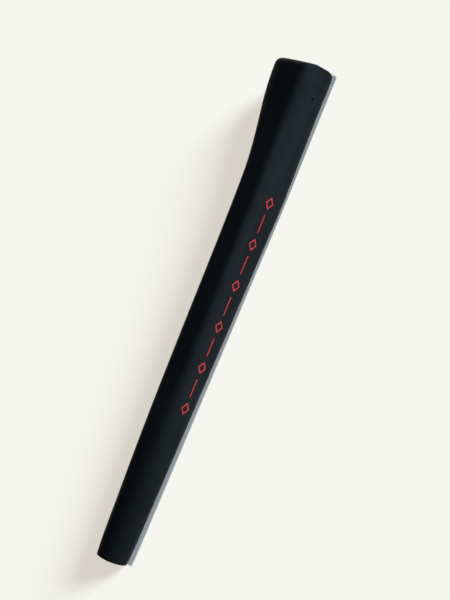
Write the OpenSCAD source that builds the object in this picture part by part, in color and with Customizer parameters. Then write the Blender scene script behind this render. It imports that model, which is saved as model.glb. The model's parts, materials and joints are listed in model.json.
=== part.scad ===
// Putter grip: a moulded rubber sleeve with a flat front face, a pistol butt,
// a plugged-in butt cap and a row of painted marks let into the face.
// The shaft bore runs along +X from the mouth (x = 0) to the butt. The flat face
// looks along -Y, the pistol swells towards +Y, and the grip lies on its -Z flank.

/* [Length] */
// Overall length from the mouth to the crown of the butt cap
grip_len = 267; // [258:1:276]
// Length of the butt cap that shows past the sleeve
cap_len = 6.5; // [5.5:0.5:8]
// Place of the neck, where the flat face reaches its full height over the bore
neck_x = 200; // [190:1:202]
// Place where the back starts to swell into the pistol
pistol_x = 205; // [203:1:212]

/* [Sections] */
// Diameter of the nearly round section at the mouth
mouth_d = 16.8; // [16.4:0.1:17.6]
// Width of the flat where it starts at the mouth
mouth_flat = 1.2; // [0.6:0.1:2]
// Width across the flanks at the butt
butt_w = 22; // [21.6:0.1:22.8]
// How far the flanks dip below a straight taper at mid-length, so the grip lies on its ends
flank_hollow = 0.35; // [0.3:0.05:0.5]
// Distance from the bore axis to the flat face at the neck
face_reach_neck = 11.5; // [10.8:0.1:12.2]
// Distance from the bore axis to the back at the belly
back_reach_belly = 10.2; // [9.6:0.1:10.6]
// Distance from the bore axis to the back at the neck
back_reach_neck = 8.9; // [8.7:0.1:9.2]
// Distance from the bore axis to the back at the butt
back_reach_butt = 18.4; // [15:0.1:20]
// Corner radius between the face and a flank at the neck
corner_neck = 3.1; // [2.5:0.1:4]
// Corner radius between the face and a flank at the butt
corner_butt = 5.4; // [4.4:0.1:6]

/* [Lip] */
// How far the mouth's edge draws in
lip_drop = 0.5; // [0.1:0.1:0.6]
// Length over which the mouth's edge draws in
lip_len = 14; // [8:1:20]

/* [Shaft bore and cap plug] */
// Diameter of the shaft bore
bore_d = 14.4; // [13.8:0.1:14.6]
// Diameter of the plug on the cap and of its socket in the sleeve
plug_d = 17.2; // [16.4:0.1:17.4]
// Length of the plug
plug_len = 5; // [3:0.5:8]
// Diameter of the vent hole through the cap
vent_d = 3.2; // [2:0.1:4]
// Height of the cap's crown
crown_h = 0.3; // [0.2:0.1:0.8]
// How far the cap's end falls away from its middle to the flanks
arch_h = 1.9; // [1:0.1:2.2]
// Edge radius of the cap at the back
cap_edge_back = 4; // [2.6:0.1:4.2]
// Edge radius of the cap at the flanks
cap_edge_flank = 2.4; // [1.4:0.1:2.6]
// Edge radius of the cap at the face
cap_edge_face = 0.8; // [0.6:0.1:1.6]

/* [Marks] */
// Number of diamond marks on the face
diamond_count = 6; // [2:1:6]
// Distance along the face from the mouth to the first diamond
first_mark = 85; // [70:1:85]
// Distance from one diamond to the next
mark_pitch = 22; // [18:1:22]
// Length of a diamond along the grip
diamond_l = 6.8; // [5:0.1:8]
// Width of a diamond across the face
diamond_w = 5.6; // [4:0.1:6.4]
// Length of a dash along the grip
dash_l = 10; // [4:0.5:10]
// Width of a painted stroke
stroke_w = 0.85; // [0.6:0.05:1]
// Depth of a mark's recess
recess_depth = 0.5; // [0.4:0.05:0.8]
// Thickness of the paint in a recess
paint_t = 0.35; // [0.2:0.05:0.4]

/* [Needle hole] */
// Diameter of the small hole near the butt
needle_d = 1.1; // [0.8:0.1:1.5]
// Depth of the small hole
needle_depth = 2; // [1:0.1:2.5]
// Distance of the small hole from the mouth
needle_x = 250.5; // [244:0.5:252]
// Offset of the small hole from the middle of the face
needle_z = -0.6; // [-4:0.1:4]

/* [Hidden] */
$fn = 64;
rubber = [0.075, 0.085, 0.095];
cap_rubber = [0.065, 0.072, 0.08];
mark_red = [0.78, 0.19, 0.23];

// Steps round a corner, round the back, and along each stretch
corner_steps = 7;
back_steps = 26;
lip_steps = 6;
shank_step = 12;
pistol_steps = 22;
edge_steps = 12;
crown_scales = [0.85, 0.65, 0.45, 0.3];
arch_flat = 2.6;

mouth_r = mouth_d / 2;
sleeve_end = grip_len - cap_len;
bore_end = sleeve_end - plug_len;
rim_x = grip_len - crown_h;
belly_x = grip_len * 0.375;
waist_x = neck_x - 15;
blend_from = neck_x - 10;
blend_to = sleeve_end - 10;
flank_start = 80;
flank_flat = 2.2;
flank_flat_butt = 3.5;
back_power_butt = 2.5;
cut_past = 1;
dash_count = diamond_count - 1;
face_tilt = atan((face_reach_neck - mouth_r) / neck_x);

diamond_names = [for (i = [1 : diamond_count]) str("paint_diamond_", i)];
dash_names = [for (i = [1 : dash_count]) str("paint_dash_", i)];

// Share of the way from a to b, straight and eased
function ramp(x, a, b) = min(1, max(0, (x - a) / (b - a)));
function ease(x, a, b) = let (t = ramp(x, a, b)) t * t * (3 - 2 * t);

// Draw-in of the mouth's edge
function lip(x) = lip_drop * pow(1 - ramp(x, 0, lip_len), 2);

// Half width across the flanks: a taper with a slight hollow
function half_width(x) =
    let (t = ramp(x, 0, sleeve_end))
    mouth_r + (butt_w / 2 - mouth_r) * t - flank_hollow * sin(180 * t) - lip(x);

// Distance from the bore axis to the flat face
function face_reach(x) = mouth_r + (face_reach_neck - mouth_r) * ramp(x, 0, neck_x) - lip(x);

// Distance from the bore axis to the back: a slight belly, a waist, then the pistol
function back_reach(x) =
    mouth_r + (back_reach_belly - mouth_r) * sin(90 * ramp(x, 0, belly_x))
    - (back_reach_belly - back_reach_neck) * ease(x, belly_x, waist_x)
    + (back_reach_butt - back_reach_neck) * ease(x, pistol_x, sleeve_end) - lip(x);

// Radius of the corner between the face and a flank
function corner(x) =
    mouth_r - mouth_flat / 2 + (corner_neck - mouth_r + mouth_flat / 2) * ramp(x, 0, blend_from)
    + (corner_butt - corner_neck) * ease(x, blend_from, blend_to) - lip(x);

// Where the flat of a flank ends and the back's curve begins
function flank_end(x) =
    flank_flat * ease(x, 0, flank_start)
    + (flank_flat_butt - flank_flat) * ease(x, blend_from, blend_to);

// Fullness of the back's curve: 2 is an ellipse, more is squarer
function back_power(x) = 2 + (back_power_butt - 2) * ease(x, blend_from, blend_to);

// Draw-in of a cap edge of radius r
function edge_in(x, r) = let (d = max(0, x - rim_x + r)) r - sqrt(max(0, r * r - d * d));

// One closed section: face corner, flank, rounded back, flank, face corner
function outline(x, w, f, b, rc, y0, p) = concat(
    [for (k = [0 : corner_steps]) let (a = 180 + 90 * k / corner_steps)
        [x, -f + rc + rc * cos(a), -w + rc + rc * sin(a)]],
    [for (k = [0 : back_steps]) let (a = -90 + 180 * k / back_steps)
        [x, y0 + (b - y0) * pow(max(0, cos(a)), 2 / p), w * sign(sin(a)) * pow(abs(sin(a)), 2 / p)]],
    [for (k = [0 : corner_steps]) let (a = 90 + 90 * k / corner_steps)
        [x, -f + rc + rc * cos(a), w - rc + rc * sin(a)]]
);

function sleeve_ring(x) =
    outline(x, half_width(x), face_reach(x), back_reach(x), corner(x), flank_end(x), back_power(x));

function cap_ring(x) = outline(
    x,
    half_width(x) - edge_in(x, cap_edge_flank),
    face_reach(x) - edge_in(x, cap_edge_face),
    back_reach(x) - edge_in(x, cap_edge_back),
    corner(x) - edge_in(x, cap_edge_face),
    flank_end(x),
    back_power(x)
);

// A ring of the crown: the rim drawn in towards the bore axis and lifted
function crown_ring(s) =
    let (last = crown_scales[len(crown_scales) - 1])
    [for (p = cap_ring(rim_x)) [rim_x + crown_h * (1 - s * s) / (1 - last * last), p.y * s, p.z * s]];

// The end's fall towards the flanks, growing from the seam to the rim, and a ring that follows it
function arch(p) = arch_h * pow(ramp(abs(p.z), arch_flat, butt_w / 2), 2) * ramp(p.x, sleeve_end, rim_x);
function arched(ring) = [for (p = ring) [p.x - arch(p), p.y, p.z]];

// Stations along the sleeve and along the cap
sleeve_stations = concat(
    [for (k = [0 : lip_steps - 1]) lip_len * k / lip_steps],
    [for (x = [lip_len : shank_step : pistol_x - shank_step / 2]) x],
    [for (k = [0 : pistol_steps]) pistol_x + (sleeve_end - pistol_x) * k / pistol_steps]
);
cap_stations = concat(
    [sleeve_end],
    [for (k = [0 : edge_steps]) rim_x - cap_edge_back * cos(90 * k / edge_steps)]
);

// A closed skin over a list of rings with equal point counts
module loft(rings) {
    n = len(rings[0]);
    last = len(rings) - 1;
    polyhedron(
        points = [for (ring = rings) each ring],
        faces = concat(
            [[for (j = [0 : n - 1]) j]],
            [for (i = [0 : last - 1], j = [0 : n - 1])
                let (a = i * n + j, b = i * n + (j + 1) % n)
                each [[a, a + n, b + n], [a, b + n, b]]],
            [[for (j = [n - 1 : -1 : 0]) last * n + j]]
        )
    );
}

// A round bar along +X between two stations
module bar_x(from, to, d) {
    translate([from, 0, 0]) rotate([0, 90, 0]) cylinder(h = to - from, d = d);
}

// Places a flat mark on the sloping face, its depth running inwards
module on_face(along) {
    translate([0, -mouth_r, 0]) rotate([0, 0, -face_tilt]) translate([along, recess_depth, 0])
        rotate([90, 0, 0]) children();
}

// An open diamond of even stroke
module diamond_shape() {
    a = diamond_l / 2;
    b = diamond_w / 2;
    inner = 1 - stroke_w * sqrt(a * a + b * b) / (a * b);
    rhomb = [[a, 0], [0, b], [-a, 0], [0, -b]];
    difference() {
        polygon(rhomb);
        polygon(inner * rhomb);
    }
}

// A straight dash with round ends
module dash_shape() {
    straight = dash_l - stroke_w;
    square([straight, stroke_w], center = true);
    for (side = [-1, 1]) translate([side * straight / 2, 0]) circle(d = stroke_w);
}

module diamond_mark(i, h) {
    on_face(first_mark + (i - 1) * mark_pitch) linear_extrude(height = h) diamond_shape();
}

module dash_mark(i, h) {
    on_face(first_mark + (i - 0.5) * mark_pitch) linear_extrude(height = h) dash_shape();
}

// The moulded sleeve with its bore, plug socket, mark recesses and needle hole
module grip_sleeve() {
    color(rubber) difference() {
        loft([for (x = sleeve_stations) sleeve_ring(x)]);
        bar_x(-cut_past, bore_end + cut_past, bore_d);
        bar_x(bore_end, sleeve_end + cut_past, plug_d);
        for (i = [1 : diamond_count]) diamond_mark(i, recess_depth + cut_past);
        for (i = [1 : dash_count]) dash_mark(i, recess_depth + cut_past);
        translate([needle_x, needle_depth - face_reach(needle_x), needle_z]) rotate([90, 0, 0])
            cylinder(h = needle_depth + cut_past, d = needle_d);
    }
}

// The butt cap: arched end, plug and vent hole
module butt_cap() {
    color(cap_rubber) difference() {
        union() {
            loft(concat(
                [for (x = cap_stations) arched(cap_ring(x))],
                [for (s = crown_scales) arched(crown_ring(s))]
            ));
            bar_x(bore_end, sleeve_end + cut_past, plug_d);
        }
        bar_x(bore_end - cut_past, grip_len + cut_past, vent_d);
    }
}

// One painted diamond
module paint_diamond(i) {
    color(mark_red) diamond_mark(i, paint_t);
}

// One painted dash
module paint_dash(i) {
    color(mark_red) dash_mark(i, paint_t);
}

grip_sleeve();
butt_cap();
for (i = [1 : diamond_count]) {
    paint_diamond(i);
}
for (i = [1 : dash_count]) {
    paint_dash(i);
}
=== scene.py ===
import json
import math

import bmesh
import bpy
from bpy.props import FloatProperty, FloatVectorProperty, PointerProperty
from mathutils import Matrix, Vector


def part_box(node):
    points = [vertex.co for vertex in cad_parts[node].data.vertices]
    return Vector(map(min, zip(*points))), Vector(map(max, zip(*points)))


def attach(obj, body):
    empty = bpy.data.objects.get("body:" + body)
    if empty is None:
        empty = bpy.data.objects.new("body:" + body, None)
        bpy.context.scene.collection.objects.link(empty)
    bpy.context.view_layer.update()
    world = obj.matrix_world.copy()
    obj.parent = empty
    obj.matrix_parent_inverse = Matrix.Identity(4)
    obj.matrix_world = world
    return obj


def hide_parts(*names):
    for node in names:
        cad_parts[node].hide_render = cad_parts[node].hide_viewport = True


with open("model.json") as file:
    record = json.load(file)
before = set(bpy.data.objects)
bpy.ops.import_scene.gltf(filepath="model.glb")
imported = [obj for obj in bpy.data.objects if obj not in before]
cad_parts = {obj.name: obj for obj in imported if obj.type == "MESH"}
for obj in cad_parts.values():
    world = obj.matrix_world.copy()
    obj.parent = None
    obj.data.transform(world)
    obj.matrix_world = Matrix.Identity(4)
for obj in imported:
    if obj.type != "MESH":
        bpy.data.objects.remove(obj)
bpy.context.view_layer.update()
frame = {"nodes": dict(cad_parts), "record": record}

bl_info = {
    "name": "Putter grip",
    "version": (1, 0, 0),
    "blender": (4, 5, 0),
    "location": "3D View > Sidebar > Putter grip",
    "description": "Builds a pistol putter grip with painted marks and the stage it lies on",
    "category": "Object",
}

# What the packed model says
SLEEVE_LOW, SLEEVE_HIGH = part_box("grip_sleeve")
CAP_LOW, CAP_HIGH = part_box("butt_cap")
MOUNT_RADIUS = {mount["name"]: mount["dims"]["r_mm"] / 1000 for mount in frame["record"]["mounts"]}
BORE_RADIUS = MOUNT_RADIUS["shaft_bore"]
VENT_RADIUS = MOUNT_RADIUS["vent_hole"]
DIAMOND_NODES = sorted(name for name in frame["nodes"] if name.startswith("paint_diamond_"))
DASH_NODES = sorted(name for name in frame["nodes"] if name.startswith("paint_dash_"))
BODY = "root"

# Points round one section: each corner, each flank, the back and the face
CORNER_STEPS = 14
FLANK_STEPS = 6
BACK_STEPS = 60
FACE_STEPS = 8
RING_POINTS = 2 * CORNER_STEPS + 2 * FLANK_STEPS + BACK_STEPS + FACE_STEPS

# Distances between sections along the grip, and steps over a rounded edge and the crown
BORE_STEP = 0.01
LIP_STEP = 0.001
SHANK_STEP = 0.003
PISTOL_STEP = 0.0015
CAP_STEP = 0.0005
ROUND_STEPS = 5
EDGE_STEPS = 24
CROWN_STEPS = 12

# Points round a dash and round the needle hole
DASH_POINTS = 28
NEEDLE_POINTS = 24

# Places and fullness of the moulded form, as the solids have them
BELLY_PLACE = 0.375 * CAP_HIGH.x
WAIST_LEAD = 0.015
BLEND_LEAD = 0.01
FLANK_FLAT = 0.0022
FLANK_FLAT_BUTT = 0.0035
FLANK_FLAT_PLACE = 0.08
BACK_POWER = 2.0
BACK_POWER_BUTT = 2.5

# Painted sheen: how far along the grip and round its corners the flat face is painted paler in place of its
# soft reflection, and how much less of it the mouth, the butt and the flanks get, which paints them darker
# as shade
PAINTED_SHEEN_START = 0.03
PAINTED_SHEEN_FULL = 0.085
PAINTED_SHEEN_FADE = 0.227
PAINTED_SHEEN_DEPTH = 0.0045
PAINTED_SHEEN_AT_MOUTH = 0.05
PAINTED_SHEEN_ON_BUTT = 0.7
PAINTED_SHEEN_ON_FLANKS = 0.2

# How the finish varies over the rubber and the paint
FINE_GRAIN_SCALE = 2.3
FINE_GRAIN_SHARE = 0.45
STREAK_STRETCH = (22.0, 210.0, 210.0)
STREAK_SHARE = 0.5
PATCH_STRETCH = (38.0, 80.0, 80.0)
PATCH_SMOOTHER = 0.05
PATCH_ROUGHER = 0.06
WORN_PALER = 0.09
WORN_SMOOTHER = 0.06
THIN_PAINT_SCALE = 620.0
THIN_PAINT_MOST = 0.65

# Limits and margins of the modelling, and the long side of the camera's sensor in millimetres
SMOOTH_ANGLE = math.radians(38)
CUT_PAST = 0.0003
TABLE_GAP = 0.00003
TABLE_POINTS = 96
SHORTEST_EDGE = 1e-6
LEVEL_ERROR = 1e-7
SENSOR_LONG_SIDE = 36.0


class GripShape(bpy.types.PropertyGroup):
    """Sizes of the rubber sleeve and its butt cap"""

    mouth_diameter: FloatProperty(
        name="Mouth diameter",
        description="Diameter of the nearly round section at the mouth",
        default=0.0168,
        unit="LENGTH",
    )
    mouth_flat: FloatProperty(
        name="Mouth flat",
        description="Width of the flat where it starts at the mouth",
        default=0.0012,
        unit="LENGTH",
    )
    butt_width: FloatProperty(
        name="Butt width",
        description="Width across the flanks at the butt",
        default=2 * SLEEVE_HIGH.z,
        unit="LENGTH",
    )
    flank_hollow: FloatProperty(
        name="Flank hollow",
        description="How far the flanks dip below a straight taper at mid-length",
        default=0.00035,
        unit="LENGTH",
    )
    face_reach: FloatProperty(
        name="Face reach",
        description="Distance from the bore axis to the flat face past the neck",
        default=-SLEEVE_LOW.y,
        unit="LENGTH",
    )
    belly_reach: FloatProperty(
        name="Belly reach",
        description="Distance from the bore axis to the back at the belly",
        default=0.0102,
        unit="LENGTH",
    )
    neck_reach: FloatProperty(
        name="Neck reach",
        description="Distance from the bore axis to the back at the neck",
        default=0.0089,
        unit="LENGTH",
    )
    butt_reach: FloatProperty(
        name="Butt reach",
        description="Distance from the bore axis to the back at the butt",
        default=CAP_HIGH.y,
        unit="LENGTH",
    )
    neck_corner: FloatProperty(
        name="Neck corner",
        description="Corner radius between the face and a flank at the neck",
        default=0.0031,
        unit="LENGTH",
    )
    butt_corner: FloatProperty(
        name="Butt corner",
        description="Corner radius between the face and a flank at the butt",
        default=0.0054,
        unit="LENGTH",
    )
    neck_place: FloatProperty(
        name="Neck place",
        description="Distance from the mouth to the neck",
        default=0.2,
        unit="LENGTH",
    )
    pistol_place: FloatProperty(
        name="Pistol place",
        description="Distance from the mouth to where the back starts to swell",
        default=0.205,
        unit="LENGTH",
    )
    lip_draw: FloatProperty(
        name="Lip draw",
        description="How far the mouth's edge draws in",
        default=0.0005,
        unit="LENGTH",
    )
    lip_length: FloatProperty(
        name="Lip length",
        description="Length over which the mouth's edge draws in",
        default=0.014,
        unit="LENGTH",
    )
    mouth_round: FloatProperty(
        name="Mouth edge round",
        description="Radius of the mouth's outer and inner edges",
        default=0.00025,
        unit="LENGTH",
    )
    plug_diameter: FloatProperty(
        name="Plug diameter",
        description="Diameter of the cap's plug and of its socket in the sleeve",
        default=0.0172,
        unit="LENGTH",
    )
    plug_play: FloatProperty(
        name="Plug play",
        description="Gap between the plug and its socket",
        default=0.00002,
        unit="LENGTH",
    )
    seam_round: FloatProperty(
        name="Seam round",
        description="Radius of the two edges that meet at the cap's seam",
        default=0.00008,
        unit="LENGTH",
    )
    crown_height: FloatProperty(
        name="Crown height",
        description="Height of the cap's crown above its rim",
        default=0.0003,
        unit="LENGTH",
    )
    arch_height: FloatProperty(
        name="Arch height",
        description="How far the cap's end falls away from its middle to the flanks",
        default=0.0019,
        unit="LENGTH",
    )
    arch_flat: FloatProperty(
        name="Arch flat",
        description="Half width of the flat strip in the middle of the cap's end",
        default=0.0026,
        unit="LENGTH",
    )
    crown_flat: FloatProperty(
        name="Crown flat",
        description="Share of the rim that the flat round the vent takes up",
        default=0.3,
        subtype="FACTOR",
    )
    cap_edge_back: FloatProperty(
        name="Cap edge at the back",
        description="Edge radius of the cap at the back",
        default=0.004,
        unit="LENGTH",
    )
    cap_edge_flank: FloatProperty(
        name="Cap edge at the flanks",
        description="Edge radius of the cap at the flanks",
        default=0.0024,
        unit="LENGTH",
    )
    cap_edge_face: FloatProperty(
        name="Cap edge at the face",
        description="Edge radius of the cap at the face",
        default=0.0008,
        unit="LENGTH",
    )
    needle_diameter: FloatProperty(
        name="Needle hole diameter",
        description="Diameter of the small blind hole near the butt",
        default=0.0011,
        unit="LENGTH",
    )
    needle_flare: FloatProperty(
        name="Needle hole flare",
        description="How far the small blind hole's wall leans outwards on its way up to the face",
        default=0.0002,
        unit="LENGTH",
    )
    needle_depth: FloatProperty(
        name="Needle hole depth",
        description="Depth of the small blind hole",
        default=0.002,
        unit="LENGTH",
    )
    needle_place: FloatVectorProperty(
        name="Needle hole place",
        description="Distance of the small hole from the mouth, and offset from the middle of the face",
        size=2,
        default=(0.2505, -0.0006),
        unit="LENGTH",
    )


class GripMarks(bpy.types.PropertyGroup):
    """Sizes of the painted marks let into the face"""

    stroke: FloatProperty(
        name="Stroke",
        description="Width of a mark's line",
        default=0.00085,
        unit="LENGTH",
    )
    recess: FloatProperty(
        name="Recess depth",
        description="Depth of a mark's recess in the face",
        default=0.0005,
        unit="LENGTH",
    )
    paint: FloatProperty(
        name="Paint thickness",
        description="Thickness of the paint in a recess",
        default=0.00035,
        unit="LENGTH",
    )
    flare: FloatProperty(
        name="Recess flare",
        description="Width and depth of the chamfer round a recess",
        default=0.00009,
        unit="LENGTH",
    )
    tip_round: FloatProperty(
        name="Tip round",
        description="How far the points of a diamond are rounded off",
        default=0.0003,
        unit="LENGTH",
    )
    shrink: FloatProperty(
        name="Paint gap",
        description="Gap between the paint and the wall of its recess",
        default=0.00002,
        unit="LENGTH",
    )
    meniscus: FloatProperty(
        name="Paint edge round",
        description="Radius of the paint's upper edge",
        default=0.00008,
        unit="LENGTH",
    )


class GripFinish(bpy.types.PropertyGroup):
    """Colours and gloss of the rubber and the paint"""

    sleeve_colour: FloatVectorProperty(
        name="Sleeve rubber",
        description="Colour of the clean sleeve rubber",
        subtype="COLOR",
        size=4,
        default=(0.0015, 0.0019, 0.0022, 1.0),
    )
    # Painted sheen and wear: the paler colour that the flat face is painted with in place of its soft
    # reflection, and that worn edges take too
    sleeve_sheen_and_wear: FloatVectorProperty(
        name="Sleeve sheen and wear",
        description="Colour of the rubber where handling has left it paler",
        subtype="COLOR",
        size=4,
        default=(0.008, 0.0104, 0.0127, 1.0),
    )
    cap_colour: FloatVectorProperty(
        name="Cap rubber",
        description="Colour of the clean cap rubber",
        subtype="COLOR",
        size=4,
        default=(0.0017, 0.0021, 0.0024, 1.0),
    )
    dust_colour: FloatVectorProperty(
        name="Dust",
        description="Colour of the lint and dust on the rubber",
        subtype="COLOR",
        size=4,
        default=(0.16, 0.155, 0.15, 1.0),
    )
    paint_colour: FloatVectorProperty(
        name="Mark paint",
        description="Colour of the fresh paint in the marks",
        subtype="COLOR",
        size=4,
        default=(0.45, 0.02, 0.03, 1.0),
    )
    paint_worn: FloatVectorProperty(
        name="Worn paint",
        description="Colour of the paint where it has thinned",
        subtype="COLOR",
        size=4,
        default=(0.28, 0.012, 0.018, 1.0),
    )
    rubber_specular: FloatProperty(
        name="Rubber specular",
        description="Specular level of the rubber",
        default=0.175,
        subtype="FACTOR",
    )
    rubber_sheen: FloatVectorProperty(
        name="Rubber sheen",
        description="Tint of the rubber's soft reflections",
        subtype="COLOR",
        size=4,
        default=(0.57, 0.79, 1.0, 1.0),
    )
    paint_specular: FloatProperty(
        name="Paint specular",
        description="Specular level of the paint",
        default=0.4,
        subtype="FACTOR",
    )


class GripStage(bpy.types.PropertyGroup):
    """Camera, lights and table"""

    camera_elevation: FloatProperty(
        name="Camera elevation",
        description="Height of the camera above the flat face's normal",
        default=math.radians(42.28),
        subtype="ANGLE",
    )
    camera_yaw: FloatProperty(
        name="Camera yaw",
        description="Turn of the camera towards the butt, from square on to the bore axis",
        default=math.radians(1.32),
        subtype="ANGLE",
    )
    camera_roll: FloatProperty(
        name="Grip lean",
        description="Lean of the grip in the picture, from upright towards the right",
        default=math.radians(21.76),
        subtype="ANGLE",
    )
    camera_distance: FloatProperty(
        name="Camera distance",
        description="Distance from the camera to the middle of the picture",
        default=0.7,
        unit="LENGTH",
    )
    picture_height: FloatProperty(
        name="Picture height",
        description="Length that the picture's long side covers at the grip",
        default=0.3006,
        unit="LENGTH",
    )
    picture_centre: FloatVectorProperty(
        name="Picture centre",
        description="Middle of the picture: distance from the mouth, and offset across the view",
        size=2,
        default=(0.14234, 0.00473),
        unit="LENGTH",
    )
    lamp_colour: FloatVectorProperty(
        name="Lamp colour",
        description="Colour of the overhead lamp",
        subtype="COLOR",
        size=3,
        default=(1.0, 0.925, 0.8),
    )
    lamp_strength: FloatProperty(
        name="Lamp strength",
        description="Strength of the overhead lamp",
        default=2.4,
    )
    window_colour: FloatVectorProperty(
        name="Window colour",
        description="Colour of the broad window light",
        subtype="COLOR",
        size=3,
        default=(0.79, 0.895, 0.925),
    )
    window_strength: FloatProperty(
        name="Window strength",
        description="Strength of the broad window light",
        default=3.7,
    )
    room_colour: FloatVectorProperty(
        name="Room colour",
        description="Colour of the light that the room sends back",
        subtype="COLOR",
        size=4,
        default=(0.92, 0.96, 1.0, 1.0),
    )
    room_strength: FloatProperty(
        name="Room strength",
        description="Strength of the light that the room sends back",
        default=0.04,
    )
    table_colour: FloatVectorProperty(
        name="Table colour",
        description="Colour of the pale table",
        subtype="COLOR",
        size=4,
        default=(0.86, 0.88, 0.9, 1.0),
    )
    backdrop_colour: FloatVectorProperty(
        name="Backdrop colour",
        description="Colour of the plain backdrop, as the lit table looks",
        subtype="COLOR",
        size=4,
        default=(0.908, 0.921, 0.868, 1.0),
    )
    table_radius: FloatProperty(
        name="Table radius",
        description="Radius of the round table top",
        default=4.0,
        unit="LENGTH",
    )


def ramp(x, start, end):
    """Share of the way from start to end, held at 0 and 1."""
    return min(1.0, max(0.0, (x - start) / (end - start)))


def ease(x, start, end):
    """Share of the way from start to end, with a soft start and finish."""
    share = ramp(x, start, end)
    return share * share * (3 - 2 * share)


def lip(shape, x):
    """Draw-in of the mouth's edge."""
    return shape.lip_draw * (1 - ramp(x, 0, shape.lip_length)) ** 2


def butt_share(shape, x):
    """How far the section has changed from the neck's to the butt's."""
    return ease(x, shape.neck_place - BLEND_LEAD, SLEEVE_HIGH.x - BLEND_LEAD)


def half_width(shape, x):
    """Half width across the flanks: a taper with a slight hollow."""
    mouth = shape.mouth_diameter / 2
    share = ramp(x, 0, SLEEVE_HIGH.x)
    taper = mouth + (shape.butt_width / 2 - mouth) * share
    return taper - shape.flank_hollow * math.sin(math.pi * share) - lip(shape, x)


def face_slope(shape):
    """Rise of the flat face over the bore axis for each metre along the grip."""
    return (shape.face_reach - shape.mouth_diameter / 2) / shape.neck_place


def face_height(shape, x):
    """Distance from the bore axis to the flat face."""
    along = min(x, shape.neck_place)
    return shape.mouth_diameter / 2 + face_slope(shape) * along - lip(shape, x)


def back_height(shape, x):
    """Distance from the bore axis to the back: a slight belly, a waist, then the pistol."""
    mouth = shape.mouth_diameter / 2
    belly = (shape.belly_reach - mouth) * math.sin(math.pi / 2 * ramp(x, 0, BELLY_PLACE))
    waist = (shape.belly_reach - shape.neck_reach) * ease(x, BELLY_PLACE, shape.neck_place - WAIST_LEAD)
    pistol = (shape.butt_reach - shape.neck_reach) * ease(x, shape.pistol_place, SLEEVE_HIGH.x)
    return mouth + belly - waist + pistol - lip(shape, x)


def corner_radius(shape, x):
    """Radius of the corner between the face and a flank."""
    mouth = (shape.mouth_diameter - shape.mouth_flat) / 2
    neck = (shape.neck_corner - mouth) * ramp(x, 0, shape.neck_place - BLEND_LEAD)
    butt = (shape.butt_corner - shape.neck_corner) * butt_share(shape, x)
    return mouth + neck + butt - lip(shape, x)


def flank_end(shape, x):
    """Where the flat of a flank ends and the back's curve begins."""
    shank = FLANK_FLAT * ease(x, 0, FLANK_FLAT_PLACE)
    return shank + (FLANK_FLAT_BUTT - FLANK_FLAT) * butt_share(shape, x)


def section(shape, x, face_in=0.0, flank_in=0.0, back_in=0.0):
    """One closed ring round the grip at x, drawn in at the face, the flanks and the back."""
    half = half_width(shape, x) - flank_in
    face = face_height(shape, x) - face_in
    back = back_height(shape, x) - back_in
    corner = corner_radius(shape, x) - face_in
    flank = flank_end(shape, x)
    power = 2 / (BACK_POWER + (BACK_POWER_BUTT - BACK_POWER) * butt_share(shape, x))
    ring = []
    for k in range(CORNER_STEPS):
        angle = math.pi * (1 + 0.5 * k / CORNER_STEPS)
        ring.append((corner - face + corner * math.cos(angle), corner - half + corner * math.sin(angle)))
    for k in range(FLANK_STEPS):
        ring.append((corner - face + (flank + face - corner) * k / FLANK_STEPS, -half))
    for k in range(BACK_STEPS):
        angle = math.pi * (k / BACK_STEPS - 0.5)
        rise = math.copysign(abs(math.sin(angle)) ** power, math.sin(angle))
        ring.append((flank + (back - flank) * abs(math.cos(angle)) ** power, half * rise))
    for k in range(FLANK_STEPS):
        ring.append((flank - (flank + face - corner) * k / FLANK_STEPS, half))
    for k in range(CORNER_STEPS):
        angle = math.pi * (0.5 + 0.5 * k / CORNER_STEPS)
        ring.append((corner - face + corner * math.cos(angle), half - corner + corner * math.sin(angle)))
    for k in range(FACE_STEPS):
        ring.append((-face, (half - corner) * (1 - 2 * k / FACE_STEPS)))
    return [Vector((x, y, z)) for y, z in ring]


def round_ring(shape, x, radius):
    """A round ring about the bore axis, its points in the directions of the mouth's own."""
    directions = [point.yz.normalized() for point in section(shape, 0.0)]
    return [Vector((x, *(direction * radius))) for direction in directions]


def even_section(shape, x, inset):
    """A section drawn in by the same amount all round."""
    return section(shape, x, inset, inset, inset)


def edge_in(distance, radius):
    """How far a rounded edge has drawn in, at a distance from the end that it rounds into."""
    left = min(max(distance, 0.0), radius)
    return radius - math.sqrt(max(0.0, radius**2 - (radius - left) ** 2))


def cap_section(shape, x, rim):
    """A section of the cap, drawn in by the edge that rounds into its rim."""
    edges = (shape.cap_edge_face, shape.cap_edge_flank, shape.cap_edge_back)
    return section(shape, x, *(edge_in(rim - x, edge) for edge in edges))


def arched(shape, ring, rim):
    """A ring of the cap that falls away towards the flanks, the more so the nearer it is to the rim."""
    for point in ring:
        fall = ramp(abs(point.z), shape.arch_flat, shape.butt_width / 2) ** 2
        point.x -= shape.arch_height * fall * ramp(point.x, SLEEVE_HIGH.x, rim)
    return ring


def spread(start, end, step):
    """Even stations from start up to, but not including, end."""
    count = max(1, round(abs(end - start) / step))
    return [start + (end - start) * k / count for k in range(count)]


def quarter_turn():
    """Sine and cosine at even steps over a quarter turn."""
    angles = [math.pi / 2 * k / ROUND_STEPS for k in range(ROUND_STEPS + 1)]
    return [(math.sin(angle), math.cos(angle)) for angle in angles]


def only(kind, items):
    """The items of one kind of mesh element."""
    return [item for item in items if isinstance(item, kind)]


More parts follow.
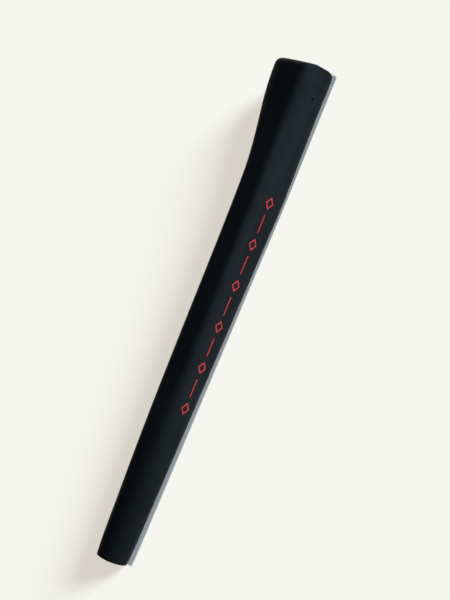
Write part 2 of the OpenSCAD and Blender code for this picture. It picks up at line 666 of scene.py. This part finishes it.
def skin(rings):
    """A closed tube through rings of equal point counts: each is extruded from the one before it."""
    bm = bmesh.new()
    place = bm.verts.layers.int.new("place")
    bmesh.ops.create_circle(bm, segments=RING_POINTS, radius=BORE_RADIUS)
    for index, vert in enumerate(bm.verts):
        vert[place] = index
        vert.co = rings[0][index]
    first = edges = bm.edges[:]
    for ring in rings[1:]:
        grown = bmesh.ops.extrude_edge_only(bm, edges=edges)["geom"]
        edges = only(bmesh.types.BMEdge, grown)
        for vert in only(bmesh.types.BMVert, grown):
            vert.co = ring[vert[place]]
    bmesh.ops.bridge_loops(bm, edges=first + edges)
    bmesh.ops.recalc_face_normals(bm, faces=bm.faces)
    bm.verts.layers.int.remove(place)
    return bm


def note_edge_wear(bm, dull=150.0, worn=480.0):
    """Stores each point's edge wear: 0 at a dull curvature, 1 at a worn one, in radians per metre."""
    layer = bm.verts.layers.float.new("edge_wear")
    bm.normal_update()
    for vert in bm.verts:
        sharpest = 0.0
        for edge in vert.link_edges:
            other = edge.other_vert(vert)
            reach = other.co - vert.co
            turn = (other.normal - vert.normal).dot(reach)
            sharpest = max(sharpest, turn / max(reach.length_squared, SHORTEST_EDGE**2))
        vert[layer] = ramp(sharpest, dull, worn)


def add_object(name, data):
    """A new object in the scene, at the origin."""
    item = bpy.data.objects.new(name, data)
    bpy.context.scene.collection.objects.link(item)
    return item


def bake_mesh(name, bm):
    """A mesh with the shape of a bmesh that is then done with."""
    mesh = bpy.data.meshes.new(name)
    bm.to_mesh(mesh)
    bm.free()
    return mesh


def finish_piece(name, bm, material, slot, *nodes):
    """Turns a bmesh into a finished piece that rides on the grip and stands for its nodes."""
    mesh = bake_mesh(name, bm)
    piece = add_object(name, mesh)
    mesh.materials.append(material)
    mesh.shade_smooth()
    mesh.set_sharp_from_angle(angle=SMOOTH_ANGLE)
    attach(piece, BODY)
    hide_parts(*nodes)
    return piece


def face_matrix(shape, x):
    """Place on the flat face: local X along the grip, local Y across it, local Z out of the face."""
    slope = face_slope(shape) if x < shape.neck_place else 0.0
    along = Vector((1, -slope, 0)).normalized()
    out = Vector((-slope, -1, 0)).normalized()
    origin = Vector((x, -face_height(shape, x), 0))
    return Matrix.Translation(origin) @ Matrix((along, out.cross(along), out)).transposed().to_4x4()


def mark_box(node):
    """Middle of a mark along the grip, and its size."""
    low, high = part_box(node)
    return (low.x + high.x) / 2, high - low


def pull_out(bm, faces, height):
    """Extrudes faces straight up or down, and returns the faces at the new end."""
    grown = bmesh.ops.extrude_face_region(bm, geom=faces)["geom"]
    bmesh.ops.translate(bm, vec=(0, 0, height), verts=only(bmesh.types.BMVert, grown))
    return only(bmesh.types.BMFace, grown)


def diamond_outline(bm, marks, size, grow):
    """Flat faces of an open diamond, its stroke widened by grow on each side."""
    long_half, short_half = size.x / 2, size.z / 2
    side = math.hypot(long_half, short_half)
    outer = Vector((long_half + grow * side / short_half, short_half + grow * side / long_half, 1))
    bmesh.ops.create_circle(bm, cap_ends=True, segments=4, radius=1.0)
    bmesh.ops.scale(bm, vec=outer, verts=bm.verts)
    middle = bm.faces[:]
    bmesh.ops.inset_region(
        bm, faces=middle, thickness=marks.stroke + 2 * grow, use_boundary=True, use_even_offset=True
    )
    bmesh.ops.delete(bm, geom=middle, context="FACES")


def dash_outline(bm, marks, size, grow):
    """Flat face of a straight dash with round ends, its stroke widened by grow on each side."""
    bmesh.ops.create_circle(bm, cap_ends=True, segments=DASH_POINTS, radius=marks.stroke / 2 + grow)
    bmesh.ops.rotate(bm, verts=bm.verts, matrix=Matrix.Rotation(math.pi / DASH_POINTS, 3, "Z"))
    reach = (size.x - marks.stroke) / 2
    for side in (-1, 1):
        half = [vert for vert in bm.verts if vert.co.x * side > 0]
        bmesh.ops.translate(bm, vec=(side * reach, 0, 0), verts=half)


def mark_slab(node, marks, grow, bottom, top):
    """A mark's shape as a slab over the face, its stroke widened by grow on each side."""
    bm = bmesh.new()
    size = mark_box(node)[1]
    pointed = node in DIAMOND_NODES
    outline = diamond_outline if pointed else dash_outline
    outline(bm, marks, size, grow)
    pull_out(bm, bm.faces[:], top - bottom)
    bmesh.ops.translate(bm, vec=(0, 0, bottom), verts=bm.verts)
    if pointed:
        upright = [edge for edge in bm.edges if edge.verts[0].co.z != edge.verts[1].co.z]
        bmesh.ops.bevel(
            bm,
            geom=upright,
            offset=marks.tip_round + max(grow, 0.0),
            segments=4,
            profile=0.5,
            affect="EDGES",
            material=-1,
        )
    bmesh.ops.recalc_face_normals(bm, faces=bm.faces)
    return bm


def level_faces(bm, height):
    """The faces of a slab that lie at one height."""
    return [face for face in bm.faces if all(abs(vert.co.z - height) < LEVEL_ERROR for vert in face.verts)]


def bevel_rim(bm, height, offset, segments):
    """Bevels the edges round a slab's faces at one height."""
    level = set(level_faces(bm, height))
    rim = [edge for edge in bm.edges if 0 < len(level.intersection(edge.link_faces)) < len(edge.link_faces)]
    bmesh.ops.bevel(
        bm, geom=rim, offset=offset, segments=segments, profile=0.5, affect="EDGES", material=-1
    )


def paint_film(shape, marks, node):
    """The paint of one mark: a thin film with a rounded upper edge, lying in its recess."""
    surface = marks.paint - marks.recess
    bm = mark_slab(node, marks, -marks.shrink, -marks.recess, surface)
    bevel_rim(bm, surface, marks.meniscus, segments=3)
    bmesh.ops.transform(bm, matrix=face_matrix(shape, mark_box(node)[0]), verts=bm.verts)
    return bm


def recess_cutter(shape, marks, node):
    """The hollow of one mark: flared where it meets the face, and standing out past it."""
    wide = 2 * marks.flare
    bm = mark_slab(node, marks, wide, -marks.flare, CUT_PAST)
    bevel_rim(bm, -marks.flare, wide, segments=1)
    flare_floor = level_faces(bm, -marks.flare)
    pull_out(bm, flare_floor, marks.flare - marks.recess)
    bmesh.ops.delete(bm, geom=flare_floor, context="FACES_ONLY")
    bmesh.ops.recalc_face_normals(bm, faces=bm.faces)
    bmesh.ops.transform(bm, matrix=face_matrix(shape, mark_box(node)[0]), verts=bm.verts)
    return bm


def needle_cutter(shape):
    """The small blind hole near the butt, a little wider at the face."""
    bm = bmesh.new()
    depth = shape.needle_depth + CUT_PAST
    bottom = shape.needle_diameter / 2
    top = bottom + shape.needle_flare * depth / shape.needle_depth
    bmesh.ops.create_cone(
        bm, cap_ends=True, segments=NEEDLE_POINTS, radius1=bottom, radius2=top, depth=depth
    )
    bmesh.ops.translate(bm, vec=(0, shape.needle_place[1], CUT_PAST - depth / 2), verts=bm.verts)
    bmesh.ops.transform(bm, matrix=face_matrix(shape, shape.needle_place[0]), verts=bm.verts)
    return bm


def cut(bm, cutters):
    """The bmesh with every cutter's solid taken out of it."""
    body = add_object("uncut", bake_mesh("uncut", bm))
    joined = bmesh.new()
    for cutter in cutters:
        mesh = bake_mesh("cutter", cutter)
        joined.from_mesh(mesh)
        bpy.data.meshes.remove(mesh)
    tool = add_object("cutters", bake_mesh("cutters", joined))
    modifier = body.modifiers.new("Recesses", "BOOLEAN")
    modifier.operation = "DIFFERENCE"
    modifier.solver = "EXACT"
    modifier.object = tool
    result = bmesh.new()
    result.from_object(body, bpy.context.evaluated_depsgraph_get())
    for item in (body, tool):
        mesh = item.data
        bpy.data.objects.remove(item)
        bpy.data.meshes.remove(mesh)
    return result


def sleeve_rings(shape):
    """Rings from the bottom of the bore out of the mouth, along the outside and into the plug's socket."""
    end, bore_end = SLEEVE_HIGH.x, CAP_LOW.x
    mouth, seam = shape.mouth_round, shape.seam_round
    rings = [round_ring(shape, x, BORE_RADIUS) for x in spread(bore_end, mouth, BORE_STEP)]
    for sine, cosine in quarter_turn():
        rings.append(round_ring(shape, mouth * (1 - sine), BORE_RADIUS + mouth * (1 - cosine)))
    for sine, cosine in quarter_turn()[:-1]:
        rings.append(even_section(shape, mouth * (1 - cosine), mouth * (1 - sine)))
    outside = spread(mouth, shape.lip_length, LIP_STEP)
    outside += spread(shape.lip_length, shape.pistol_place, SHANK_STEP)
    outside += spread(shape.pistol_place, end - 2 * seam, PISTOL_STEP)
    rings += [section(shape, x) for x in outside]
    for sine, cosine in quarter_turn():
        rings.append(even_section(shape, end - seam * (1 - sine), seam * (1 - cosine)))
    socket = shape.plug_diameter / 2
    rings.append(round_ring(shape, end, socket))
    rings.append(round_ring(shape, bore_end, socket))
    return rings


def cap_rings(shape):
    """Rings from the vent's inner end over the plug, the outside, the edge and the crown, to the vent."""
    start, seat, top = CAP_LOW.x, SLEEVE_HIGH.x, CAP_HIGH.x
    rim, seam = top - shape.crown_height, shape.seam_round
    plug = shape.plug_diameter / 2 - shape.plug_play
    chamfer = shape.mouth_round
    rings = [round_ring(shape, start, VENT_RADIUS), round_ring(shape, start, plug - chamfer)]
    rings += [round_ring(shape, start + chamfer, plug), round_ring(shape, seat, plug)]
    for sine, cosine in quarter_turn():
        rings.append(even_section(shape, seat + seam * (1 - cosine), seam * (1 - sine)))
    edge = shape.cap_edge_back
    stations = spread(seat + 2 * seam, rim - edge, CAP_STEP)
    stations += [rim - edge * math.cos(math.pi / 2 * k / EDGE_STEPS) for k in range(EDGE_STEPS)]
    rings += [arched(shape, cap_section(shape, x, rim), rim) for x in stations]
    last = cap_section(shape, rim, rim)
    flat = shape.crown_flat
    for k in range(CROWN_STEPS + 1):
        share = 1 + (flat - 1) * k / CROWN_STEPS
        x = rim + shape.crown_height * (1 - share**2) / (1 - flat**2)
        rings.append(arched(shape, [Vector((x, *(point.yz * share))) for point in last], rim))
    for sine, cosine in quarter_turn():
        rings.append(round_ring(shape, top - chamfer * (1 - cosine), VENT_RADIUS + chamfer * (1 - sine)))
    return rings


def node_group(name, inputs, outputs):
    """An empty shader group with named sockets, and its input and output nodes."""
    group = bpy.data.node_groups.new(name, "ShaderNodeTree")
    for label, kind, default in inputs:
        socket = group.interface.new_socket(name=label, in_out="INPUT", socket_type=kind)
        if default is not None:
            socket.default_value = default
    for label in outputs:
        group.interface.new_socket(name=label, in_out="OUTPUT", socket_type="NodeSocketFloat")
    return group, group.nodes.new("NodeGroupInput"), group.nodes.new("NodeGroupOutput")


def feed(tree, socket, value):
    """Links an output to a socket, or sets the socket to a plain value."""
    if isinstance(value, bpy.types.NodeSocket):
        tree.links.new(value, socket)
    else:
        socket.default_value = value


def math_node(tree, operation, *values, clamp=False):
    """A maths node on values or outputs, and its result."""
    node = tree.nodes.new("ShaderNodeMath")
    node.operation = operation
    node.use_clamp = clamp
    for socket, value in zip(node.inputs, values):
        feed(tree, socket, value)
    return node.outputs[0]


def map_range(tree, value, low, high, to_low=0.0, to_high=1.0):
    """A value carried from one range to another with a soft step, and held at its ends."""
    node = tree.nodes.new("ShaderNodeMapRange")
    node.interpolation_type = "SMOOTHSTEP"
    tree.links.new(value, node.inputs["Value"])
    for socket, number in zip(node.inputs[1:5], (low, high, to_low, to_high)):
        socket.default_value = number
    return node.outputs["Result"]


def mix_colour(tree, share, first, second):
    """A mix of two colours or outputs, and its result."""
    node = tree.nodes.new("ShaderNodeMix")
    node.data_type = "RGBA"
    tree.links.new(share, node.inputs["Factor"])
    for socket, value in ((node.inputs[6], first), (node.inputs[7], second)):
        feed(tree, socket, value)
    return node.outputs[2]


def stretched(tree, vector, scale):
    """A vector scaled by its own factor along each axis."""
    node = tree.nodes.new("ShaderNodeVectorMath")
    node.operation = "MULTIPLY"
    tree.links.new(vector, node.inputs[0])
    node.inputs[1].default_value = scale
    return node.outputs[0]


def noise(tree, vector, scale, detail, roughness=0.55):
    """Noise in three dimensions, and its value."""
    node = tree.nodes.new("ShaderNodeTexNoise")
    tree.links.new(vector, node.inputs["Vector"])
    feed(tree, node.inputs["Scale"], scale)
    node.inputs["Detail"].default_value = detail
    node.inputs["Roughness"].default_value = roughness
    return node.outputs[0]


def grain_group():
    """Fine pebbled grain that a matte mould leaves on rubber and paint."""
    name = "Moulded grain"
    if name in bpy.data.node_groups:
        return bpy.data.node_groups[name]
    inputs = [("Vector", "NodeSocketVector", None), ("Scale", "NodeSocketFloat", 2600.0)]
    group, source, sink = node_group(name, inputs, ["Height"])
    vector, scale = source.outputs["Vector"], source.outputs["Scale"]
    pebbles = group.nodes.new("ShaderNodeTexVoronoi")
    pebbles.feature = "SMOOTH_F1"
    pebbles.inputs["Smoothness"].default_value = 0.6
    group.links.new(vector, pebbles.inputs["Vector"])
    group.links.new(scale, pebbles.inputs["Scale"])
    rounded = math_node(group, "SUBTRACT", 1.0, pebbles.outputs["Distance"])
    fine_scale = math_node(group, "MULTIPLY", scale, FINE_GRAIN_SCALE)
    fine = noise(group, vector, fine_scale, detail=2.0)
    height = math_node(group, "MULTIPLY_ADD", fine, FINE_GRAIN_SHARE, rounded)
    group.links.new(height, sink.inputs["Height"])
    return group


def handling_group():
    """Broad soft streaks along the grip where hands and wiping have changed the surface."""
    name = "Handling streaks"
    if name in bpy.data.node_groups:
        return bpy.data.node_groups[name]
    inputs = [("Vector", "NodeSocketVector", None), ("Scale", "NodeSocketFloat", 1.0)]
    group, source, sink = node_group(name, inputs, ["Streaks", "Patches"])
    vector, scale = source.outputs["Vector"], source.outputs["Scale"]
    streaks = noise(group, stretched(group, vector, STREAK_STRETCH), scale, detail=4.0, roughness=0.6)
    group.links.new(map_range(group, streaks, low=0.4, high=0.72), sink.inputs["Streaks"])
    patches = noise(group, stretched(group, vector, PATCH_STRETCH), scale, detail=3.0, roughness=0.5)
    group.links.new(map_range(group, patches, low=0.36, high=0.68), sink.inputs["Patches"])
    return group


def dust_group():
    """Scattered specks of lint and dust: a few cells out of many hold one."""
    name = "Lint and dust"
    if name in bpy.data.node_groups:
        return bpy.data.node_groups[name]
    inputs = [
        ("Vector", "NodeSocketVector", None),
        ("Scale", "NodeSocketFloat", 300.0),
        ("Cover", "NodeSocketFloat", 0.03),
    ]
    group, source, sink = node_group(name, inputs, ["Specks"])
    cells = group.nodes.new("ShaderNodeTexVoronoi")
    group.links.new(source.outputs["Vector"], cells.inputs["Vector"])
    group.links.new(source.outputs["Scale"], cells.inputs["Scale"])
    near = map_range(group, cells.outputs["Distance"], low=0.05, high=0.085, to_low=1.0, to_high=0.0)
    chance = group.nodes.new("ShaderNodeSeparateColor")
    group.links.new(cells.outputs["Color"], chance.inputs["Color"])
    chosen = math_node(group, "LESS_THAN", chance.outputs["Red"], source.outputs["Cover"])
    group.links.new(math_node(group, "MULTIPLY", near, chosen), sink.inputs["Specks"])
    return group


def painted_sheen_mask(tree, vector):
    """Painted sheen mask: 1 on the face, which is painted paler in place of its soft reflection, less
    towards the butt and the flanks, and least at the mouth, which are painted darker as shade.
    """
    split = tree.nodes.new("ShaderNodeSeparateXYZ")
    tree.links.new(vector, split.inputs["Vector"])
    along, across = split.outputs["X"], split.outputs["Y"]
    mouth = map_range(tree, along, PAINTED_SHEEN_START, PAINTED_SHEEN_FULL, PAINTED_SHEEN_AT_MOUTH, 1.0)
    butt = map_range(tree, along, PAINTED_SHEEN_FADE, CAP_HIGH.x, 1.0, PAINTED_SHEEN_ON_BUTT)
    face = map_range(tree, across, SLEEVE_LOW.y, SLEEVE_LOW.y + PAINTED_SHEEN_DEPTH, 1.0, PAINTED_SHEEN_ON_FLANKS)
    return math_node(tree, "MULTIPLY", math_node(tree, "MULTIPLY", mouth, butt), face)


def place_group(tree, group, vector, **values):
    """Puts a shared group into a material with its own values."""
    node = tree.nodes.new("ShaderNodeGroup")
    node.node_tree = group
    tree.links.new(vector, node.inputs["Vector"])
    for label, value in values.items():
        node.inputs[label].default_value = value
    return node.outputs


def new_material(name):
    """A material with its shader, and the object coordinates that its patterns read."""
    material = bpy.data.materials.new(name)
    material.use_nodes = True
    tree = material.node_tree
    coordinates = tree.nodes.new("ShaderNodeTexCoord").outputs["Object"]
    return material, tree, tree.nodes["Principled BSDF"], coordinates


def set_bump(tree, shader, height, strength, distance):
    """Feeds a height through a bump node into the shader's normal."""
    bump = tree.nodes.new("ShaderNodeBump")
    bump.inputs["Strength"].default_value = strength
    bump.inputs["Distance"].default_value = distance
    tree.links.new(height, bump.inputs["Height"])
    tree.links.new(bump.outputs["Normal"], shader.inputs["Normal"])


def rubber(name, finish, colour, roughness, grain, cover):
    """Matte black moulded rubber: grain, handling streaks, burnished edges, a little dust, and a painted
    sheen that makes the face paler than the flanks, the mouth and the butt.
    """
    material, tree, shader, place = new_material(name)
    height = place_group(tree, grain_group(), place, Scale=grain)["Height"]
    handling = place_group(tree, handling_group(), place)
    specks = place_group(tree, dust_group(), place, Cover=cover)["Specks"]
    worn = tree.nodes.new("ShaderNodeAttribute")
    worn.attribute_name = "edge_wear"
    rubbed = math_node(tree, "MULTIPLY_ADD", handling["Streaks"], STREAK_SHARE, 1 - STREAK_SHARE)
    worn_pale = math_node(tree, "MULTIPLY", worn.outputs["Fac"], WORN_PALER)
    # Painted sheen on the face, streaked, plus real paleness on worn edges: the share of the paler colour
    sheen_and_wear = math_node(tree, "MULTIPLY_ADD", painted_sheen_mask(tree, place), rubbed, worn_pale)
    clean = mix_colour(tree, sheen_and_wear, tuple(colour), tuple(finish.sleeve_sheen_and_wear))
    dusty = mix_colour(tree, specks, clean, tuple(finish.dust_colour))
    tree.links.new(dusty, shader.inputs["Base Color"])
    smoothest, roughest = roughness - PATCH_SMOOTHER, roughness + PATCH_ROUGHER
    handled = map_range(tree, handling["Patches"], 0.0, 1.0, smoothest, roughest)
    burnish = math_node(tree, "MULTIPLY", worn.outputs["Fac"], WORN_SMOOTHER)
    tree.links.new(math_node(tree, "SUBTRACT", handled, burnish, clamp=True), shader.inputs["Roughness"])
    set_bump(tree, shader, height, strength=0.35, distance=0.00006)
    shader.inputs["Specular IOR Level"].default_value = finish.rubber_specular
    shader.inputs["Specular Tint"].default_value = finish.rubber_sheen
    return material


def mark_paint(finish):
    """Satin red paint, a little thin in places, with the orange peel of a brushed fill."""
    material, tree, shader, place = new_material("Mark paint")
    height = place_group(tree, grain_group(), place, Scale=1500.0)["Height"]
    brushing = noise(tree, place, THIN_PAINT_SCALE, detail=3.0)
    thin = map_range(tree, brushing, low=0.42, high=0.74, to_high=THIN_PAINT_MOST)
    colour = mix_colour(tree, thin, tuple(finish.paint_colour), tuple(finish.paint_worn))
    tree.links.new(colour, shader.inputs["Base Color"])
    roughness = map_range(tree, thin, 0.0, THIN_PAINT_MOST, to_low=0.4, to_high=0.55)
    tree.links.new(roughness, shader.inputs["Roughness"])
    set_bump(tree, shader, height, strength=0.25, distance=0.00005)
    shader.inputs["Specular IOR Level"].default_value = finish.paint_specular
    return material


def paint_material(finish):
    """The mark paint, made once."""
    return bpy.data.materials.get("Mark paint") or mark_paint(finish)


class PUTTER_GRIP_OT_sleeve(bpy.types.Operator):
    """Builds the moulded sleeve with its bore, recesses and needle hole"""

    bl_idname = "putter_grip.sleeve"
    bl_label = "Build sleeve"

    def execute(self, context):
        scene = context.scene
        shape, marks, finish = scene.grip_shape, scene.grip_marks, scene.grip_finish
        bm = skin(sleeve_rings(shape))
        note_edge_wear(bm)
        cutters = [recess_cutter(shape, marks, node) for node in DIAMOND_NODES + DASH_NODES]
        bm = cut(bm, cutters + [needle_cutter(shape)])
        material = rubber(
            "Sleeve rubber", finish, finish.sleeve_colour, roughness=0.68, grain=2600.0, cover=0.03
        )
        finish_piece("sleeve", bm, material, "sleeve_rubber", "grip_sleeve")
        return {"FINISHED"}


class PUTTER_GRIP_OT_butt_cap(bpy.types.Operator):
    """Builds the butt cap with its plug, crown and vent"""

    bl_idname = "putter_grip.butt_cap"
    bl_label = "Build butt cap"

    def execute(self, context):
        finish = context.scene.grip_finish
        bm = skin(cap_rings(context.scene.grip_shape))
        note_edge_wear(bm)
        material = rubber(
            "Cap rubber", finish, finish.cap_colour, roughness=0.7, grain=2300.0, cover=0.02
        )
        finish_piece("cap", bm, material, "cap_rubber", "butt_cap")
        return {"FINISHED"}


def build_marks(context, nodes):
    """One piece of paint in each mark's recess."""
    scene = context.scene
    material = paint_material(scene.grip_finish)
    for node in nodes:
        bm = paint_film(scene.grip_shape, scene.grip_marks, node)
        finish_piece(node.replace("paint_", "mark_"), bm, material, "mark_paint", node)


class PUTTER_GRIP_OT_diamonds(bpy.types.Operator):
    """Fills the open diamonds with paint"""

    bl_idname = "putter_grip.diamonds"
    bl_label = "Paint diamonds"

    def execute(self, context):
        build_marks(context, DIAMOND_NODES)
        return {"FINISHED"}


class PUTTER_GRIP_OT_dashes(bpy.types.Operator):
    """Fills the dashes with paint"""

    bl_idname = "putter_grip.dashes"
    bl_label = "Paint dashes"

    def execute(self, context):
        build_marks(context, DASH_NODES)
        return {"FINISHED"}


def table_material(stage):
    """Pale matte table top that the camera can see through from below."""
    material, tree, shader, _ = new_material("Table top")
    shader.inputs["Base Color"].default_value = stage.table_colour
    shader.inputs["Roughness"].default_value = 0.9
    shader.inputs["Specular IOR Level"].default_value = 0.0
    below = math_node(
        tree,
        "MULTIPLY",
        tree.nodes.new("ShaderNodeNewGeometry").outputs["Backfacing"],
        tree.nodes.new("ShaderNodeLightPath").outputs["Is Camera Ray"],
    )
    mix = tree.nodes.new("ShaderNodeMixShader")
    tree.links.new(below, mix.inputs["Fac"])
    tree.links.new(shader.outputs["BSDF"], mix.inputs[1])
    tree.links.new(tree.nodes.new("ShaderNodeBsdfTransparent").outputs["BSDF"], mix.inputs[2])
    tree.links.new(mix.outputs["Shader"], tree.nodes["Material Output"].inputs["Surface"])
    return material


def build_table(shape, stage):
    """A round table top that touches the grip's flank near the mouth and at the butt."""
    mouth_x, butt_x = shape.lip_length, SLEEVE_HIGH.x
    mouth_z, butt_z = -half_width(shape, mouth_x), -half_width(shape, butt_x)
    tilt = math.atan2(butt_z - mouth_z, butt_x - mouth_x)
    bm = bmesh.new()
    bmesh.ops.create_circle(bm, cap_ends=True, segments=TABLE_POINTS, radius=stage.table_radius)
    bmesh.ops.rotate(bm, verts=bm.verts, matrix=Matrix.Rotation(-tilt, 3, "Y"))
    bmesh.ops.translate(bm, vec=(mouth_x, 0, mouth_z - TABLE_GAP), verts=bm.verts)
    table = add_object("table_top", bake_mesh("table_top", bm))
    table.data.materials.append(table_material(stage))


def direction(azimuth, elevation):
    """Direction towards a light: azimuth 0 lies out of the flat face, 90 towards the butt."""
    turn, rise = math.radians(azimuth), math.radians(elevation)
    return Vector((math.sin(turn) * math.cos(rise), -math.cos(turn) * math.cos(rise), math.sin(rise)))


def build_sun(name, colour, strength, azimuth, elevation, spread_angle):
    """A sun that shines from the given direction, with its spread in degrees."""
    light = bpy.data.lights.new(name, "SUN")
    light.color = colour
    light.energy = strength
    light.angle = math.radians(spread_angle)
    sun = add_object(name, light)
    sun.matrix_world = direction(azimuth, elevation).to_track_quat("Z", "Y").to_matrix().to_4x4()
    return sun


def build_world(stage):
    """Dim room light for the grip, and a plain pale backdrop for the camera."""
    world = bpy.data.worlds.new("Room")
    world.use_nodes = True
    tree = world.node_tree
    room = tree.nodes["Background"]
    room.inputs["Color"].default_value = stage.room_colour
    room.inputs["Strength"].default_value = stage.room_strength
    backdrop = tree.nodes.new("ShaderNodeBackground")
    backdrop.inputs["Color"].default_value = stage.backdrop_colour
    mix = tree.nodes.new("ShaderNodeMixShader")
    tree.links.new(tree.nodes.new("ShaderNodeLightPath").outputs["Is Camera Ray"], mix.inputs["Fac"])
    tree.links.new(room.outputs["Background"], mix.inputs[1])
    tree.links.new(backdrop.outputs["Background"], mix.inputs[2])
    tree.links.new(mix.outputs["Shader"], tree.nodes["World Output"].inputs["Surface"])
    bpy.context.scene.world = world


def build_camera(stage):
    """A camera that leans so the grip runs up the picture with its face to the right."""
    rise, yaw, lean = stage.camera_elevation, stage.camera_yaw, stage.camera_roll
    axis = Vector((1, 0, 0))
    out = Vector((0, -math.cos(rise), math.sin(rise)))
    across = Vector((0, -math.sin(rise), -math.cos(rise)))
    back = out * math.cos(yaw) + axis * math.sin(yaw)
    along = axis * math.cos(yaw) - out * math.sin(yaw)
    right = along * math.sin(lean) + across * math.cos(lean)
    up = along * math.cos(lean) - across * math.sin(lean)
    middle = axis * stage.picture_centre[0] + across * stage.picture_centre[1]
    data = bpy.data.cameras.new("Camera")
    data.sensor_width = SENSOR_LONG_SIDE
    data.lens = SENSOR_LONG_SIDE * stage.camera_distance / stage.picture_height
    camera = add_object("Camera", data)
    turn = Matrix((right, up, back)).transposed().to_4x4()
    camera.matrix_world = Matrix.Translation(middle + back * stage.camera_distance) @ turn
    bpy.context.scene.camera = camera


class PUTTER_GRIP_OT_stage(bpy.types.Operator):
    """Sets up the table, the lights and the camera"""

    bl_idname = "putter_grip.stage"
    bl_label = "Set the stage"

    def execute(self, context):
        scene = context.scene
        stage = scene.grip_stage
        build_table(scene.grip_shape, stage)
        lamp = build_sun(
            "Lamp", stage.lamp_colour, stage.lamp_strength, azimuth=0, elevation=80, spread_angle=9
        )
        lamp.visible_glossy = False
        build_sun(
            "Window", stage.window_colour, stage.window_strength, azimuth=42, elevation=17, spread_angle=18
        )
        build_world(stage)
        build_camera(stage)
        scene.view_settings.view_transform = "Standard"
        return {"FINISHED"}


class PUTTER_GRIP_PT_panel(bpy.types.Panel):
    """Lists the pieces of the grip and the sizes and colours behind them"""

    bl_idname = "PUTTER_GRIP_PT_panel"
    bl_label = "Putter grip"
    bl_space_type = "VIEW_3D"
    bl_region_type = "UI"
    bl_category = "Putter grip"

    def draw(self, context):
        layout = self.layout
        for operator in OPERATORS:
            layout.operator(operator.bl_idname)
        for label, settings in SETTINGS.items():
            box = layout.box()
            box.label(text=settings.__doc__)
            for name in settings.__annotations__:
                box.prop(getattr(context.scene, label), name)


SETTINGS = {
    "grip_shape": GripShape,
    "grip_marks": GripMarks,
    "grip_finish": GripFinish,
    "grip_stage": GripStage,
}
OPERATORS = [
    PUTTER_GRIP_OT_sleeve,
    PUTTER_GRIP_OT_butt_cap,
    PUTTER_GRIP_OT_diamonds,
    PUTTER_GRIP_OT_dashes,
    PUTTER_GRIP_OT_stage,
]


def register():
    """Registers the settings, the operators and the panel."""
    for label, settings in SETTINGS.items():
        bpy.utils.register_class(settings)
        setattr(bpy.types.Scene, label, PointerProperty(type=settings))
    for item in [*OPERATORS, PUTTER_GRIP_PT_panel]:
        bpy.utils.register_class(item)


def unregister():
    """Takes the panel, the operators and the settings away again."""
    for item in [PUTTER_GRIP_PT_panel, *reversed(OPERATORS)]:
        bpy.utils.unregister_class(item)
    for label, settings in reversed(SETTINGS.items()):
        delattr(bpy.types.Scene, label)
        bpy.utils.unregister_class(settings)


def main():
    """Builds the grip and its stage."""
    register()
    bpy.ops.putter_grip.sleeve()
    bpy.ops.putter_grip.butt_cap()
    bpy.ops.putter_grip.diamonds()
    bpy.ops.putter_grip.dashes()
    bpy.ops.putter_grip.stage()


if __name__ == "__main__":
    main()
